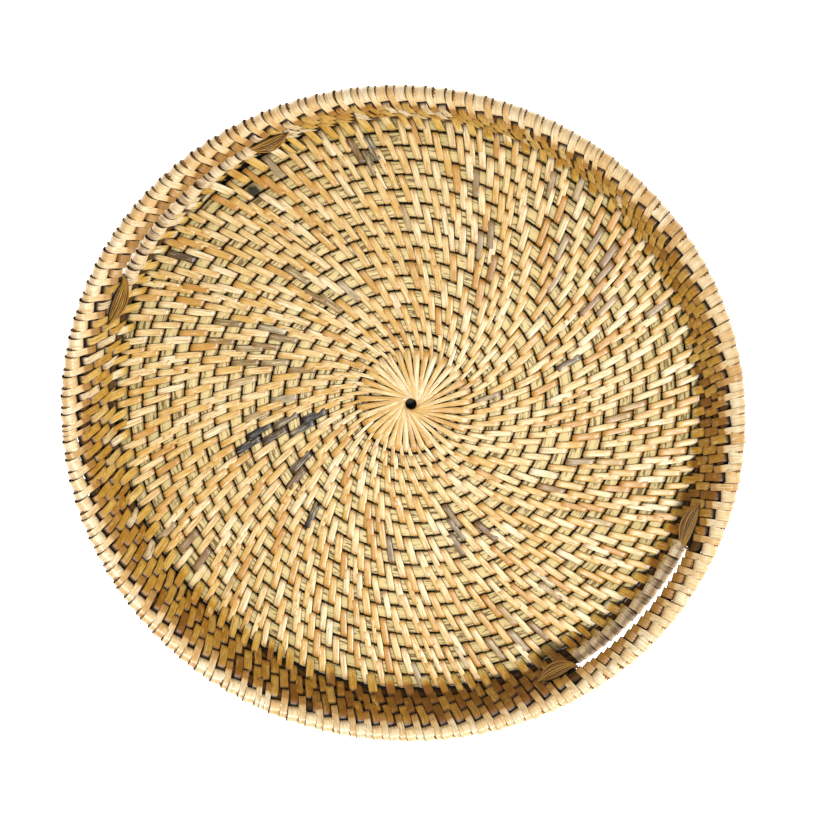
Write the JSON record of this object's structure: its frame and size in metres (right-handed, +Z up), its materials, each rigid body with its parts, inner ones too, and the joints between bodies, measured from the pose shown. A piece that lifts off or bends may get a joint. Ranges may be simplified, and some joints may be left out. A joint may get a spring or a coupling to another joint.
{
  "type": "winnowing basket",
  "caption": "Shallow round tray of coiled rattan bound with peel strips, with a low leaning wall, a wrapped rim and a hand slot on each side, for winnowing grain or carrying.",
  "frame": {"origin": "centre of the underside of the floor, on the surface that the tray stands on", "axes": "+Z up; +X through the middle of the right hand slot, and -X through the left one; +Y completes a right-handed frame"},
  "size_m": [0.4008, 0.4004, 0.0492],
  "materials": {
    "floor_cane": "split rattan cane, dry, fine grain along its length",
    "wall_cane": "split rattan cane, dry, fine grain along its length",
    "rim_cane": "round rattan cane, dry",
    "floor_peel": "rattan peel strips, satin, cream to orange-brown with a few dark stained ones",
    "wall_peel": "rattan peel strips, satin, mustard to brown",
    "rim_peel": "wide rattan peel wraps, smooth and slightly glossy, light",
    "binding_peel": "twisted rattan peel strands, mustard brown"
  },
  "bodies": {
    "root": {"centre_coil": "floor_cane", "centre_stitches": "floor_peel", "corner_stitches": "wall_peel", "end_binding_left_a": "binding_peel", "end_binding_left_b": "binding_peel", "end_binding_right_a": "binding_peel", "end_binding_right_b": "binding_peel", "floor_core_1": "floor_cane", "floor_core_2": "floor_cane", "floor_core_3": "floor_cane", "floor_core_4": "floor_cane", "floor_core_5": "floor_cane", "floor_stitches_1": "floor_peel", "floor_stitches_2": "floor_peel", "floor_stitches_3": "floor_peel", "floor_stitches_4": "floor_peel", "floor_stitches_5": "floor_peel", "foot_stitches": "floor_peel", "rim_hoop": "rim_cane", "rim_stitches": "rim_peel", "rim_wraps": "rim_peel", "slot_edge_wrap_left": "rim_peel", "slot_edge_wrap_right": "rim_peel", "wall_hoop_1": "wall_cane", "wall_hoop_2": "wall_cane", "wall_hoop_3_back": "wall_cane", "wall_hoop_3_front": "wall_cane", "wall_hoop_4": "wall_cane", "wall_stitches_1": "wall_peel", "wall_stitches_2": "wall_peel", "wall_stitches_3": "wall_peel"}
  },
  "joints": []
}
